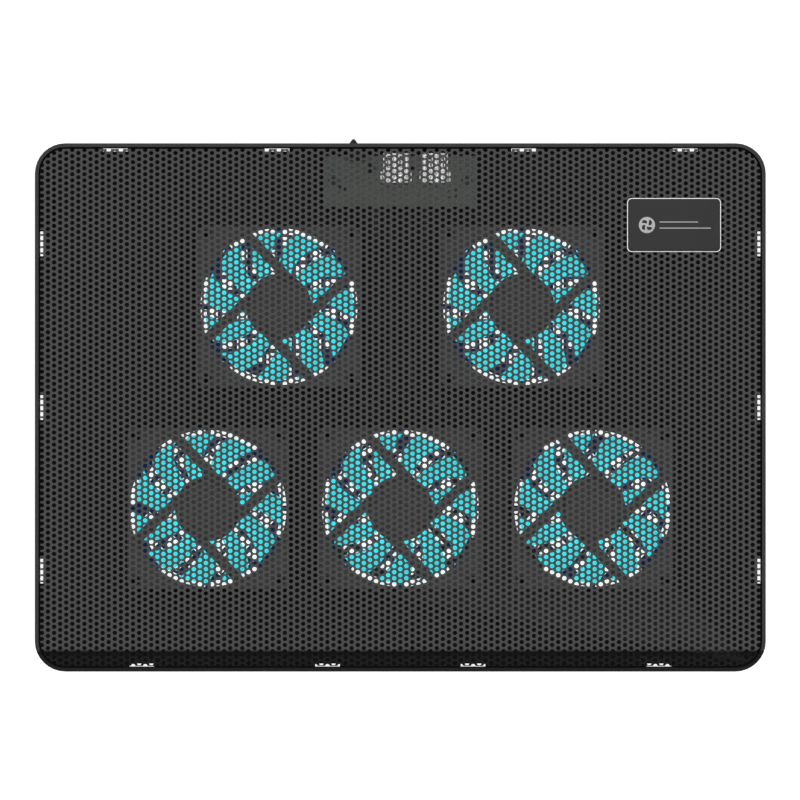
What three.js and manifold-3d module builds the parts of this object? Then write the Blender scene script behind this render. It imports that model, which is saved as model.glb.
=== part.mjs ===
// Laptop cooling pad: a moulded tray with five 80 mm fans under a perforated steel sheet, a small circuit
// board with two USB-A ports and a slide switch at the rear, and two folding feet underneath.
// Millimetres. +X is the user's right, +Y is the rear, +Z is up. The origin is on the table, in the middle
// of the footprint, which the switch knob at the rear makes a little deeper than the tray.

import * as THREE from 'three';
import { mergeVertices } from 'three/addons/utils/BufferGeometryUtils.js';
import Module from 'manifold-3d';

const wasm = await Module();
wasm.setup();

// ---------------------------------------------------------------- driving dimensions

const LENGTH = 361;
const WIDTH = 261;
const CORNER = 15;
const FIT = 0.1;                 // gap between pieces that touch
const DEG = Math.PI / 180;
const SIDES = { bore: 32, hub: 24, small: 12, pin: 16 };   // facets of round pieces, by size

const TRAY = { bottom: 1.5, floor: 3.5, rim: 25.3, wall: 1.8, chamfer: 1.0 };
const SHEET = {
  top: 25.5, thick: 1.0, inset: 2.8, bendY: -119.6, bendRadius: 4, slope: 40 * DEG, bendSteps: 3,
};
const LOCATING_TAB = { width: 10, height: 6, inset: 3.2 };
const SLOT = { length: 12.2, width: 1.45, inset: 0.55 };
const SLOTS_REAR_X = [-141, -61, 61, 141];
const SLOTS_FRONT_X = [-128, -36, 36, 128];
const SLOTS_SIDE_Y = [-81, 0, 81];
const TABS_REAR_X = [-100, 100];
const TABS_SIDE_Y = [-40, 40];

const FAN = {
  size: 80, height: 15, corner: 4, bottom: 3.8, flange: 2.6,
  bore: 38.8, tube: 39.8, holePitch: 71.5, holeRadius: 2.2,
  plate: 16.2, plateThick: 1.6, armOffset: 13.0, armWidth: 4.8, armThick: 2.0, armAngle: 43.5 * DEG,
};
// Intakes in the tray floor: a lattice of square openings, straight under the rear fans and diagonal under
// the front ones, and curved slots round it. The slots are longer to the front and rear than to the sides.
const GRILLE_REAR = { turn: 0, pitch: 7.3, side: 5.1, offset: 0.5 };
const GRILLE_FRONT = { turn: 45 * DEG, pitch: 8.2, side: 5.9, offset: 0 };
const GRILLE = { reach: 34, edge: 34.6 };
const RIM_SLOT = { inner: 36, outer: 39.2, rib: 2.6, spans: [22 * DEG, 39 * DEG], steps: [2, 4] };
const FANS = [
  { name: 'rear_left', x: -60, y: 49.9, phase: 0, grille: GRILLE_REAR },
  { name: 'rear_right', x: 60, y: 49.9, phase: 0, grille: GRILLE_REAR },
  { name: 'front_left', x: -95.1, y: -49.9, phase: -3.9 * DEG, grille: GRILLE_FRONT },
  { name: 'front_centre', x: 0, y: -49.9, phase: 0.7 * DEG, grille: GRILLE_FRONT },
  { name: 'front_right', x: 95.1, y: -49.9, phase: 0.6 * DEG, grille: GRILLE_FRONT },
];
const ROTOR = { hub: 16.0, cup: 14.5, bottom: 5.0, top: 16.0, floor: 1.6, boss: 3.4, bossTop: 8.8 };
const BLADE = {
  count: 11, root: 15.2, tip: 36.8, low: 6.4, high: 14.2, camber: 0.12, thick: 1.6,
  gap: 5.6, gapAt: 34, gapCurve: 0.0095, sweepAt: 27.7, sweepAngle: 26.2 * DEG,
  sweepRate: -0.83 * DEG, sweepCurve: -0.022 * DEG, across: 2, along: 2,
};
const SHAFT = { radius: 1.5, bottom: 6.8, top: 16.6 };
const BEARING = { bore: 1.6, outer: 3.0, bottom: 9.6, top: 17.1 };
const HOLDER = { bore: 3.1, outer: 4.4, bottom: 9.4 };
const STATOR = { bore: 4.6, core: 6.8, outer: 11.8, bottom: 9.8, top: 15.4, poles: 4, poleWidth: 5 };
const MAGNET = { inner: 12.6, outer: 14.4, bottom: 7.0, top: 15.6 };
const PEG = { radius: 1.8, top: 8.0, sides: 6 };
const LEAD = { radius: 1.1, step: 6.6, sides: 6 };
const HOOK = { x: 9, ys: [80.7, 36.8], thick: 1.4, width: 4, finger: 5, fingerBottom: 3.6, height: 5 };

const BOARD = { width: 76, depth: 25.3, x: 0, y: 111.85, bottom: 8.5, top: 10.1, screwX: 33, screwHole: 1.6 };
const BOARD_SCREW = {
  shank: 1.2, head: 2.5, headHeight: 1.5, length: 6, recess: 0.8, recessReach: 1.4, recessHalf: 0.3,
};
const BOARD_POST = 3;
const USB = {
  width: 13.1, depth: 14.7, height: 5.9, wall: 0.35, back: 1.2, mouthY: 125.7, xs: [-2.15, 17.15],
};
const TONGUE = { width: 11.2, depth: 9.2, thick: 1.8, lift: 3.1, root: 2.5 };
const SWITCH = {
  x: -21.6, width: 9.8, front: 121.9, rear: 128.2, height: 5.0, wall: 0.8, groove: 2.6, grooveDepth: 2.4,
};
const KNOB = { x: -23.1, root: 4.2, tip: 1.8, reach: 2.2, height: 2.4, travel: 3.0, bluntFrom: 0.8 };
const WINDOW = { port: 0.4, knob: 0.6, below: 0.3 };   // room round the ports and the knob in the rear wall

const POCKET = { x: 140, width: 56, front: 62, rear: 108.9, ceiling: 8.5, wall: 1.5 };
const FOOT = {
  width: 50, free: 66, hingeY: 105, hingeZ: 4.6, barrel: 2.6, under: 2.2, over: 5.8,
  gripHalf: 14, gripFrom: 6, gripTo: 22, gripDepth: 1.4,
};
const PIN = { radius: 1.25, hole: 1.37, inset: 0.4 };
const FOOT_TIP = { width: 40, depth: 2.4, under: 2.5, over: 5.5 };
const RUBBER = { x: 150, frontY: -117, rearY: 119, length: 30, width: 8, radius: 3.9 };
const NAME_PLATE = { x: 135.2, y: 90.1, width: 46.4, depth: 26.7, radius: 2.3, thick: 0.5 };

// ---------------------------------------------------------------- materials

function material(color, roughness, metalness = 0) {
  return new THREE.MeshStandardMaterial({ color, roughness, metalness });
}

const trayPlastic = material(0x202122, 0.55);
const sheetPaint = material(0x2c2c2d, 0.5, 0.3);
const framePlastic = material(0x2b2c2d, 0.5);
const bladePlastic = material(0x28d8e4, 0.35);
const steel = material(0xb9bcc0, 0.3, 1);
const bronze = material(0xa98045, 0.45, 1);
const copper = material(0x9c4f2a, 0.5, 0.6);
const ferrite = material(0x303032, 0.8);
const leadJacket = material(0x141415, 0.6);
const boardMask = material(0x2c3b30, 0.5);
const blackPlastic = material(0x131313, 0.5);
const rubber = material(0x0d0d0e, 0.9);
const plateMetal = material(0x303133, 0.4, 0.6);

// ---------------------------------------------------------------- shapes and solids

// Points of a rectangle with round corners, centred on the origin.
function roundedOutline(width, depth, radius, steps = 6) {
  const points = [];
  const centres = [[1, 1], [-1, 1], [-1, -1], [1, -1]];
  centres.forEach(([sx, sy], quarter) => {
    for (let i = 0; i <= steps; i += 1) {
      const angle = (quarter + i / steps) * Math.PI / 2;
      points.push(new THREE.Vector2(
        sx * (width / 2 - radius) + radius * Math.cos(angle),
        sy * (depth / 2 - radius) + radius * Math.sin(angle),
      ));
    }
  });
  return points;
}

function circleOutline(radius, sides, x = 0, y = 0) {
  return Array.from({ length: sides }, (_, i) => {
    const angle = (i + 0.5) / sides * 2 * Math.PI;
    return new THREE.Vector2(x + radius * Math.cos(angle), y + radius * Math.sin(angle));
  });
}

// Outline of the tray, moved inwards by an inset.
function trayOutline(inset) {
  return roundedOutline(LENGTH - 2 * inset, WIDTH - 2 * inset, CORNER - inset, 8);
}

function prism(outline, bottom, top, holes = []) {
  const shape = new THREE.Shape(outline);
  shape.holes = holes.map((hole) => new THREE.Path(hole));
  const geometry = new THREE.ExtrudeGeometry(shape, { depth: top - bottom, bevelEnabled: false });
  return geometry.translate(0, 0, bottom);
}

function box(x0, x1, y0, y1, z0, z1) {
  const geometry = new THREE.BoxGeometry(x1 - x0, y1 - y0, z1 - z0);
  return geometry.translate((x0 + x1) / 2, (y0 + y1) / 2, (z0 + z1) / 2);
}

function cylinder(radius, bottom, top, x, y, sides) {
  return prism(circleOutline(radius, sides, x, y), bottom, top);
}

function ring(inner, outer, bottom, top, sides) {
  return prism(circleOutline(outer, sides), bottom, top, [circleOutline(inner, sides)]);
}

// A section drawn in Y and Z, swept along X.
function sweptAlongX(section, x0, x1) {
  const turn = new THREE.Matrix4().makeBasis(
    new THREE.Vector3(0, 1, 0), new THREE.Vector3(0, 0, 1), new THREE.Vector3(1, 0, 0),
  );
  return prism(section, x0, x1).applyMatrix4(turn);
}

// A closed body through outlines of equal length, one per height.
function loft(layers) {
  const count = layers[0].outline.length;
  const positions = layers.flatMap(({ z, outline }) => outline.flatMap((p) => [p.x, p.y, z]));
  const index = [];
  for (let k = 0; k + 1 < layers.length; k += 1) {
    for (let i = 0; i < count; i += 1) {
      const a = k * count + i;
      const b = k * count + (i + 1) % count;
      index.push(a, b, b + count, a, b + count, a + count);
    }
  }
  const last = (layers.length - 1) * count;
  for (const [a, b, c] of THREE.ShapeUtils.triangulateShape(layers[0].outline, [])) {
    index.push(a, c, b, last + a, last + b, last + c);
  }
  const geometry = new THREE.BufferGeometry();
  geometry.setAttribute('position', new THREE.Float32BufferAttribute(positions, 3));
  geometry.setIndex(index);
  return geometry;
}

function solid(geometry) {
  const bare = geometry.clone();
  bare.deleteAttribute('normal');
  bare.deleteAttribute('uv');
  const merged = mergeVertices(bare);
  return new wasm.Manifold(new wasm.Mesh({
    numProp: 3,
    vertProperties: new Float32Array(merged.attributes.position.array),
    triVerts: new Uint32Array(merged.index.array),
  }));
}

function joined(first, others) {
  return others.reduce((body, geometry) => body.add(solid(geometry)), first);
}

function cutBy(first, others) {
  return others.reduce((body, geometry) => body.subtract(solid(geometry)), first);
}

function surface(body) {
  const mesh = body.getMesh();
  const geometry = new THREE.BufferGeometry();
  geometry.setAttribute('position', new THREE.BufferAttribute(mesh.vertProperties, 3));
  geometry.setIndex(new THREE.BufferAttribute(mesh.triVerts, 1));
  geometry.computeVertexNormals();
  return geometry;
}

// The whole pad: it is set forward so that the origin is the middle of the footprint.
const pad = new THREE.Group();
pad.position.y = -KNOB.reach / 2;

function addPiece(name, geometry, look, parent = pad) {
  const piece = new THREE.Mesh(geometry, look);
  piece.name = name;
  parent.add(piece);
  return piece;
}

// ---------------------------------------------------------------- top sheet

// The sheet's section: flat, then bent down towards its front edge. Lower and upper lines are parallel.
function sheetLine(depthBelowTop) {
  const radius = SHEET.bendRadius - depthBelowTop;
  const centreZ = SHEET.top - SHEET.bendRadius;
  const points = [new THREE.Vector2(WIDTH / 2, SHEET.top - depthBelowTop)];
  for (let i = 0; i <= SHEET.bendSteps; i += 1) {
    const angle = SHEET.slope * i / SHEET.bendSteps;
    const y = SHEET.bendY - radius * Math.sin(angle);
    points.push(new THREE.Vector2(y, centreZ + radius * Math.cos(angle)));
  }
  const end = points[points.length - 1];
  const run = end.x + WIDTH / 2;
  points.push(new THREE.Vector2(end.x - run, end.y - run * Math.tan(SHEET.slope)));
  return points;
}

function makeTopSheet() {
  const section = [...sheetLine(0), ...sheetLine(SHEET.thick).reverse()];
  const plan = prism(trayOutline(SHEET.inset), 0, SHEET.top + 1);
  let sheet = solid(sweptAlongX(section, -LENGTH / 2, LENGTH / 2)).intersect(solid(plan));
  const { width, height, inset } = LOCATING_TAB;
  const z1 = SHEET.top - SHEET.thick / 2;
  const z0 = SHEET.top - SHEET.thick - height;
  const tabs = [];
  for (const x of TABS_REAR_X) {
    const y = WIDTH / 2 - inset;
    tabs.push(box(x - width / 2, x + width / 2, y - SHEET.thick, y, z0, z1));
  }
  for (const y of TABS_SIDE_Y) {
    for (const side of [-1, 1]) {
      const outer = side * (LENGTH / 2 - inset);
      const inner = outer - side * SHEET.thick;
      tabs.push(box(Math.min(outer, inner), Math.max(outer, inner), y - width / 2, y + width / 2, z0, z1));
    }
  }
  sheet = joined(sheet, tabs);
  return surface(sheet);
}

// ---------------------------------------------------------------- base tray

function trayShell() {
  const outer = loft([
    { z: TRAY.bottom, outline: trayOutline(TRAY.chamfer) },
    { z: TRAY.bottom + TRAY.chamfer, outline: trayOutline(0) },
    { z: TRAY.rim, outline: trayOutline(0) },
  ]);
  const inside = prism(trayOutline(TRAY.wall), TRAY.floor, TRAY.rim + 1);
  // The walls follow the sheet's slope down to the front edge.
  const drop = TRAY.rim - SHEET.top;
  const slopeLine = sheetLine(0).map((p) => new THREE.Vector2(p.x, p.y + drop));
  slopeLine.shift();
  const foot = slopeLine[slopeLine.length - 1];
  const run = 10;
  const above = [
    ...slopeLine,
    new THREE.Vector2(foot.x - run, foot.y - run * Math.tan(SHEET.slope)),
    new THREE.Vector2(foot.x - run, TRAY.rim + 1),
    new THREE.Vector2(slopeLine[0].x, TRAY.rim + 1),
  ];
  return cutBy(solid(outer), [inside, sweptAlongX(above.reverse(), -LENGTH, LENGTH)]);
}

function edgeSlots() {
  const slots = [];
  const through = [TRAY.bottom - 1, TRAY.floor + 1];
  const half = SLOT.length / 2;
  const insideY = WIDTH / 2 - TRAY.wall - SLOT.inset;
  const insideX = LENGTH / 2 - TRAY.wall - SLOT.inset;
  for (const x of SLOTS_REAR_X) {
    slots.push(box(x - half, x + half, insideY - SLOT.width, insideY, ...through));
  }
  for (const x of SLOTS_FRONT_X) {
    slots.push(box(x - half, x + half, -insideY, -insideY + SLOT.width, ...through));
  }
  for (const y of SLOTS_SIDE_Y) {
    slots.push(box(insideX - SLOT.width, insideX, y - half, y + half, ...through));
    slots.push(box(-insideX, -insideX + SLOT.width, y - half, y + half, ...through));
  }
  return slots;
}

// Windows in the rear wall for the two ports and the switch knob.
function rearWindows() {
  const y0 = WIDTH / 2 - TRAY.wall - 1;
  const y1 = WIDTH / 2 + 1;
  const windows = USB.xs.map((x) => {
    const half = USB.width / 2 + WINDOW.port;
    return box(x - half, x + half, y0, y1, BOARD.top - WINDOW.below, BOARD.top + USB.height + WINDOW.port);
  });
  const knobZ = BOARD.top + SWITCH.height / 2;
  const left = KNOB.x - KNOB.root / 2 - WINDOW.knob;
  const right = KNOB.x + KNOB.travel + KNOB.root / 2 + WINDOW.knob;
  const knobHalf = KNOB.height / 2 + WINDOW.port;
  windows.push(box(left, right, y0, y1, knobZ - knobHalf, knobZ + knobHalf));
  return windows;
}

function fanCorners(fan) {
  const half = FAN.holePitch / 2;
  return [[1, 1], [-1, 1], [-1, -1], [1, -1]].map(([sx, sy]) => [fan.x + sx * half, fan.y + sy * half]);
}

function footPocket(side) {
  const x = side * POCKET.x;
  const half = POCKET.width / 2;
  return box(x - half, x + half, POCKET.front, POCKET.rear, TRAY.bottom - 1, POCKET.ceiling);
}

function footHousing(side) {
  const x = side * POCKET.x;
  const half = POCKET.width / 2 + POCKET.wall;
  return box(
    x - half, x + half,
    POCKET.front - POCKET.wall, POCKET.rear + POCKET.wall,
    TRAY.bottom + 0.5, POCKET.ceiling + POCKET.wall,
  );
}

function pinHole(side) {
  const half = POCKET.width / 2 + POCKET.wall + 1;
  const section = circleOutline(PIN.hole, SIDES.pin, FOOT.hingeY, FOOT.hingeZ);
  return sweptAlongX(section, side * POCKET.x - half, side * POCKET.x + half);
}

// Hooks that keep the fan leads in the middle channel: a post with a finger over the leads.
function leadHooks() {
  const hooks = [];
  const top = TRAY.floor + HOOK.height;
  const half = HOOK.thick / 2;
  for (const x of [-HOOK.x, HOOK.x]) {
    for (const y of HOOK.ys) {
      const ends = [y - HOOK.width / 2, y + HOOK.width / 2];
      hooks.push(box(x - half, x + half, ...ends, TRAY.floor - 0.5, top));
      hooks.push(box(x - HOOK.finger, x + half, ...ends, TRAY.floor + HOOK.fingerBottom, top));
    }
  }
  return hooks;
}

// The lattice of one fan's intake, cut off by a circle.
function grilleOpenings(fan) {
  const { turn, pitch, side, offset } = fan.grille;
  const edge = solid(cylinder(GRILLE.edge, TRAY.bottom - 1, TRAY.floor + 1, fan.x, fan.y, SIDES.bore));
  const openings = [];
  const count = Math.ceil(GRILLE.reach / pitch);
  const half = side / 2;
  for (let i = -count; i <= count; i += 1) {
    for (let j = -count; j <= count; j += 1) {
      const x = (i + offset) * pitch;
      const y = (j + offset) * pitch;
      if (Math.hypot(x, y) <= GRILLE.reach) {
        const opening = box(x - half, x + half, y - half, y + half, TRAY.bottom - 1, TRAY.floor + 1);
        openings.push(solid(opening.rotateZ(turn).translate(fan.x, fan.y, 0)).intersect(edge));
      }
    }
  }
  return openings;
}

// Curved slots round the lattice: two to each side of the fan, with a rib between them.
function rimSlots(fan) {
  const slots = [];
  for (let quarter = 0; quarter < 4; quarter += 1) {
    const first = RIM_SLOT.rib / 2 / RIM_SLOT.inner;
    const last = RIM_SLOT.spans[quarter % 2];
    const steps = RIM_SLOT.steps[quarter % 2];
    for (const side of [-1, 1]) {
      const arc = (radius) => Array.from({ length: steps + 1 }, (_, i) => {
        const angle = quarter * Math.PI / 2 + side * (first + (last - first) * i / steps);
        return new THREE.Vector2(fan.x + radius * Math.cos(angle), fan.y + radius * Math.sin(angle));
      });
      const outline = [...arc(RIM_SLOT.inner), ...arc(RIM_SLOT.outer).reverse()];
      slots.push(solid(prism(outline, TRAY.bottom - 1, TRAY.floor + 1)));
    }
  }
  return slots;
}

function makeTray() {
  const posts = [];
  for (const fan of FANS) {
    for (const [x, y] of fanCorners(fan)) {
      posts.push(cylinder(PEG.radius, TRAY.floor - 0.5, PEG.top, x, y, PEG.sides));
    }
  }
  for (const side of [-1, 1]) {
    const top = BOARD.bottom - FIT;
    posts.push(cylinder(BOARD_POST, TRAY.floor - 0.5, top, side * BOARD.screwX, BOARD.y, SIDES.small));
    posts.push(footHousing(side));
  }
  const holes = [...edgeSlots(), ...rearWindows()];
  for (const side of [-1, 1]) {
    const x = side * BOARD.screwX;
    const radius = BOARD_SCREW.shank + FIT;
    holes.push(footPocket(side), pinHole(side));
    holes.push(cylinder(radius, TRAY.floor + 0.5, BOARD.bottom + 1, x, BOARD.y, SIDES.small));
  }
  const body = cutBy(joined(trayShell(), [...posts, ...leadHooks()]), holes);
  const intakes = FANS.flatMap((fan) => [...grilleOpenings(fan), ...rimSlots(fan)]);
  return surface(wasm.Manifold.difference([body, ...intakes]));
}

// ---------------------------------------------------------------- fans

// One of four arms that leave the motor plate on a tangent and end in the frame's wall.
function fanArm(index) {
  const reach = Math.sqrt(((FAN.bore + FAN.tube) / 2) ** 2 - FAN.armOffset ** 2);
  const top = FAN.bottom + FAN.height;
  const arm = box(
    FAN.armOffset - FAN.armWidth / 2, FAN.armOffset + FAN.armWidth / 2,
    0, reach, top - FAN.armThick, top,
  );
  return arm.rotateZ(FAN.armAngle + index * Math.PI / 2);
}

function makeFanFrame() {
  const top = FAN.bottom + FAN.height;
  const half = FAN.holePitch / 2;
  const outline = roundedOutline(FAN.size, FAN.size, FAN.corner, 2);
  const holes = [[1, 1], [-1, 1], [-1, -1], [1, -1]].map(
    ([sx, sy]) => circleOutline(FAN.holeRadius, 8, sx * half, sy * half),
  );
  const bore = circleOutline(FAN.bore, SIDES.bore);
  const block = prism(outline, FAN.bottom, top, [bore, ...holes]);
  const waist = ring(FAN.tube, FAN.size, FAN.bottom + FAN.flange, top - FAN.flange, SIDES.bore);
  const parts = [];
  for (let i = 0; i < 4; i += 1) {
    parts.push(fanArm(i));
  }
  parts.push(cylinder(FAN.plate, top - FAN.plateThick, top, 0, 0, SIDES.hub));
  parts.push(cylinder(HOLDER.outer, HOLDER.bottom, top - 0.5, 0, 0, SIDES.small));
  const holderBore = cylinder(HOLDER.bore, HOLDER.bottom - 1, top - FAN.plateThick, 0, 0, SIDES.small);
  const body = cutBy(solid(block), [waist]);
  return surface(cutBy(joined(body, parts), [holderBore]));
}

// Angle of the middle of the gap between two blades, which drifts back towards the tip.
function gapAngle(radius) {
  const out = radius - BLADE.sweepAt;
  return BLADE.sweepAngle + BLADE.sweepRate * out + BLADE.sweepCurve * out * out;
}

// Angle that the gap between two blades takes up. The gap is widest near the tip.
function gapWidth(radius) {
  return (BLADE.gap - BLADE.gapCurve * (radius - BLADE.gapAt) ** 2) / radius;
}

// One blade: a grid of points between root and tip, leading edge low and trailing edge high.
function bladeGeometry(index) {
  const pitch = 2 * Math.PI / BLADE.count;
  const rows = BLADE.across + 1;
  const positions = [];
  for (const lift of [-BLADE.thick / 2, BLADE.thick / 2]) {
    for (let i = 0; i <= BLADE.along; i += 1) {
      const radius = BLADE.root + (BLADE.tip - BLADE.root) * i / BLADE.along;
      const start = gapAngle(radius) + index * pitch + gapWidth(radius) / 2;
      const spread = pitch - gapWidth(radius);
      for (let j = 0; j <= BLADE.across; j += 1) {
        const v = j / BLADE.across;
        const angle = start + spread * v;
        const rise = v + BLADE.camber * Math.sin(Math.PI * v);
        const z = BLADE.low + (BLADE.high - BLADE.low) * rise + lift;
        positions.push(radius * Math.cos(angle), radius * Math.sin(angle), z);
      }
    }
  }
  const layer = rows * (BLADE.along + 1);
  const faces = [];
  const quad = (a, b, c, d) => faces.push(a, b, c, a, c, d);
  for (let i = 0; i < BLADE.along; i += 1) {
    for (let j = 0; j < BLADE.across; j += 1) {
      const a = i * rows + j;
      quad(a, a + 1, a + rows + 1, a + rows);
      quad(layer + a, layer + a + rows, layer + a + rows + 1, layer + a + 1);
    }
    const first = i * rows;
    const last = first + BLADE.across;
    quad(first, first + rows, layer + first + rows, layer + first);
    quad(last, layer + last, layer + last + rows, last + rows);
  }
  const outer = BLADE.along * rows;
  for (let j = 0; j < BLADE.across; j += 1) {
    quad(j, layer + j, layer + j + 1, j + 1);
    quad(outer + j, outer + j + 1, layer + outer + j + 1, layer + outer + j);
  }
  const geometry = new THREE.BufferGeometry();
  geometry.setAttribute('position', new THREE.Float32BufferAttribute(positions, 3));
  geometry.setIndex(faces);
  return geometry;
}

function makeRotor() {
  const cup = solid(cylinder(ROTOR.hub, ROTOR.bottom, ROTOR.top, 0, 0, SIDES.hub));
  const hollow = cylinder(ROTOR.cup, ROTOR.bottom + ROTOR.floor, ROTOR.top + 1, 0, 0, SIDES.hub);
  const boss = cylinder(ROTOR.boss, ROTOR.bottom + 0.5, ROTOR.bossTop, 0, 0, SIDES.small);
  const shaftHole = cylinder(SHAFT.radius + FIT, SHAFT.bottom - FIT, ROTOR.top, 0, 0, SIDES.pin);
  let rotor = cutBy(cup, [hollow]).add(solid(boss));
  rotor = cutBy(rotor, [shaftHole]);
  for (let i = 0; i < BLADE.count; i += 1) {
    rotor = rotor.add(solid(bladeGeometry(i)));
  }
  return surface(rotor);
}

function makeStator() {
  let core = solid(ring(STATOR.bore, STATOR.core, STATOR.bottom, STATOR.top, SIDES.small));
  const half = STATOR.poleWidth / 2;
  const hole = cylinder(STATOR.bore, STATOR.bottom - 1, STATOR.top + 1, 0, 0, SIDES.small);
  const limit = solid(cylinder(STATOR.outer, STATOR.bottom, STATOR.top, 0, 0, SIDES.hub));
  for (let i = 0; i < STATOR.poles; i += 1) {
    const pole = box(0, STATOR.outer + 1, -half, half, STATOR.bottom, STATOR.top);
    core = core.add(solid(pole.rotateZ(i * 2 * Math.PI / STATOR.poles)));
  }
  return surface(cutBy(core.intersect(limit), [hole]));
}

// ---------------------------------------------------------------- fan leads

// Each lead leaves its fan between the two flanges, drops to the floor of the tray, follows the middle
// channel to the rear and comes up under the circuit board.
const LEADS_LEFT = {
  rear: [[-19.4, 70, 11], [-15.5, 71, 9], [-12.6, 75, 5.4], [-12.3, 90, 5], [-12.2, 102, 5.2], [-12, 108, 7]],
  front: [
    [-66, -9.3, 11], [-65, -5, 8.5], [-61, -1.5, 5.6], [-50, 0, 5], [-20, 1, 5],
    [-7.5, 6, 5], [-5.6, 20, 5], [-5.4, 60, 5], [-5.3, 95, 5], [-5.2, 102, 5.2], [-5, 108, 7],
  ],
};
const LEAD_MIDDLE = [
  [0, -9.3, 11], [0, -6, 8.5], [0, -1, 5.4], [0, 20, 5], [0, 60, 5], [0, 95, 5], [0, 102, 5.2], [0, 108, 7],
];

function mirrored(points) {
  return points.map(([x, y, z]) => [-x, y, z]);
}

const LEADS = {
  rear_left: LEADS_LEFT.rear,
  rear_right: mirrored(LEADS_LEFT.rear),
  front_left: LEADS_LEFT.front,
  front_centre: LEAD_MIDDLE,
  front_right: mirrored(LEADS_LEFT.front),
};

function makeLead(points) {
  const route = new THREE.CatmullRomCurve3(points.map((p) => new THREE.Vector3(...p)));
  const section = new THREE.Shape(circleOutline(LEAD.radius, LEAD.sides));
  const steps = Math.round(route.getLength() / LEAD.step);
  return new THREE.ExtrudeGeometry(section, { steps, extrudePath: route, bevelEnabled: false });
}

// ---------------------------------------------------------------- electronics

function makeBoard() {
  const outline = roundedOutline(BOARD.width, BOARD.depth, 1, 2);
  const holes = [-1, 1].map((side) => circleOutline(BOARD.screwHole, SIDES.small, side * BOARD.screwX, 0));
  return prism(outline, BOARD.bottom, BOARD.top, holes).translate(BOARD.x, BOARD.y, 0);
}

function makeBoardScrew() {
  const seat = BOARD.top + FIT;
  const head = cylinder(BOARD_SCREW.head, seat, seat + BOARD_SCREW.headHeight, 0, 0, SIDES.pin);
  const shank = cylinder(BOARD_SCREW.shank, seat - BOARD_SCREW.length, seat + 0.5, 0, 0, SIDES.small);
  const { recess, recessReach: reach, recessHalf: half } = BOARD_SCREW;
  const top = seat + BOARD_SCREW.headHeight + 1;
  const cross = [
    box(-reach, reach, -half, half, seat + recess, top),
    box(-half, half, -reach, reach, seat + recess, top),
  ];
  return surface(cutBy(joined(solid(head), [shank]), cross));
}

function makeUsbShell() {
  const half = USB.width / 2;
  const z0 = BOARD.top + FIT;
  const z1 = BOARD.top + USB.height;
  const back = USB.mouthY - USB.depth;
  const shell = box(-half, half, back, USB.mouthY, z0, z1);
  const inside = half - USB.wall;
  const mouth = box(-inside, inside, back + USB.back, USB.mouthY + 1, z0 + USB.wall, z1 - USB.wall);
  return surface(cutBy(solid(shell), [mouth]));
}

function makeTongue() {
  const z = BOARD.top + TONGUE.lift;
  const back = USB.mouthY - USB.depth + USB.back + FIT;
  const half = TONGUE.width / 2;
  const blade = solid(box(-half, half, back, back + TONGUE.depth, z, z + TONGUE.thick));
  const root = box(-half, half, back, back + TONGUE.root, BOARD.top + USB.wall + 2 * FIT, z + TONGUE.thick);
  return surface(joined(blade, [root]));
}

function makeSwitchBody() {
  const half = SWITCH.width / 2;
  const z0 = BOARD.top + FIT;
  const middle = BOARD.top + SWITCH.height / 2;
  const body = box(SWITCH.x - half, SWITCH.x + half, SWITCH.front, SWITCH.rear, z0, z0 + SWITCH.height);
  const inside = half - SWITCH.wall;
  const groove = box(
    SWITCH.x - inside, SWITCH.x + inside, SWITCH.rear - SWITCH.grooveDepth, SWITCH.rear + 1,
    middle - SWITCH.groove / 2, middle + SWITCH.groove / 2,
  );
  return surface(cutBy(solid(body), [groove]));
}

// The knob narrows outside the wall to a blunt tip.
function makeSwitchKnob() {
  const wallY = WIDTH / 2;
  const middle = BOARD.top + SWITCH.height / 2;
  const half = KNOB.root / 2;
  const tip = KNOB.tip / 2;
  const outline = [
    [-half, SWITCH.rear - SWITCH.grooveDepth + FIT], [half, SWITCH.rear - SWITCH.grooveDepth + FIT],
    [half, wallY], [tip, wallY + KNOB.reach * KNOB.bluntFrom], [tip / 2, wallY + KNOB.reach],
    [-tip / 2, wallY + KNOB.reach], [-tip, wallY + KNOB.reach * KNOB.bluntFrom], [-half, wallY],
  ].map(([x, y]) => new THREE.Vector2(KNOB.x + x, y));
  return prism(outline, middle - KNOB.height / 2, middle + KNOB.height / 2);
}

// ---------------------------------------------------------------- feet, rubber and plate

function makeFoot() {
  const half = FOOT.width / 2;
  const leg = box(-half, half, FOOT.free, FOOT.hingeY, FOOT.under, FOOT.over);
  const barrel = sweptAlongX(circleOutline(FOOT.barrel, SIDES.pin, FOOT.hingeY, FOOT.hingeZ), -half, half);
  const hole = sweptAlongX(circleOutline(PIN.hole, SIDES.pin, FOOT.hingeY, FOOT.hingeZ), -half - 1, half + 1);
  const { gripHalf, gripFrom, gripTo, gripDepth } = FOOT;
  const gripEnds = [FOOT.free + gripFrom, FOOT.free + gripTo];
  const grip = box(-gripHalf, gripHalf, ...gripEnds, FOOT.over - gripDepth, FOOT.over + 1);
  return surface(cutBy(joined(solid(leg), [barrel]), [hole, grip]));
}

function makeFootTip() {
  const half = FOOT_TIP.width / 2;
  return box(-half, half, FOOT.free - FOOT_TIP.depth - FIT, FOOT.free - FIT, FOOT_TIP.under, FOOT_TIP.over);
}

function makePin() {
  const half = POCKET.width / 2 + POCKET.wall - PIN.inset;
  return sweptAlongX(circleOutline(PIN.radius, SIDES.pin, FOOT.hingeY, FOOT.hingeZ), -half, half);
}

function makeRubberPad() {
  return prism(roundedOutline(RUBBER.length, RUBBER.width, RUBBER.radius, 4), 0, TRAY.bottom);
}

function makeNamePlate() {
  const outline = roundedOutline(NAME_PLATE.width, NAME_PLATE.depth, NAME_PLATE.radius, 5);
  return prism(outline, SHEET.top, SHEET.top + NAME_PLATE.thick).translate(NAME_PLATE.x, NAME_PLATE.y, 0);
}

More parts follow.
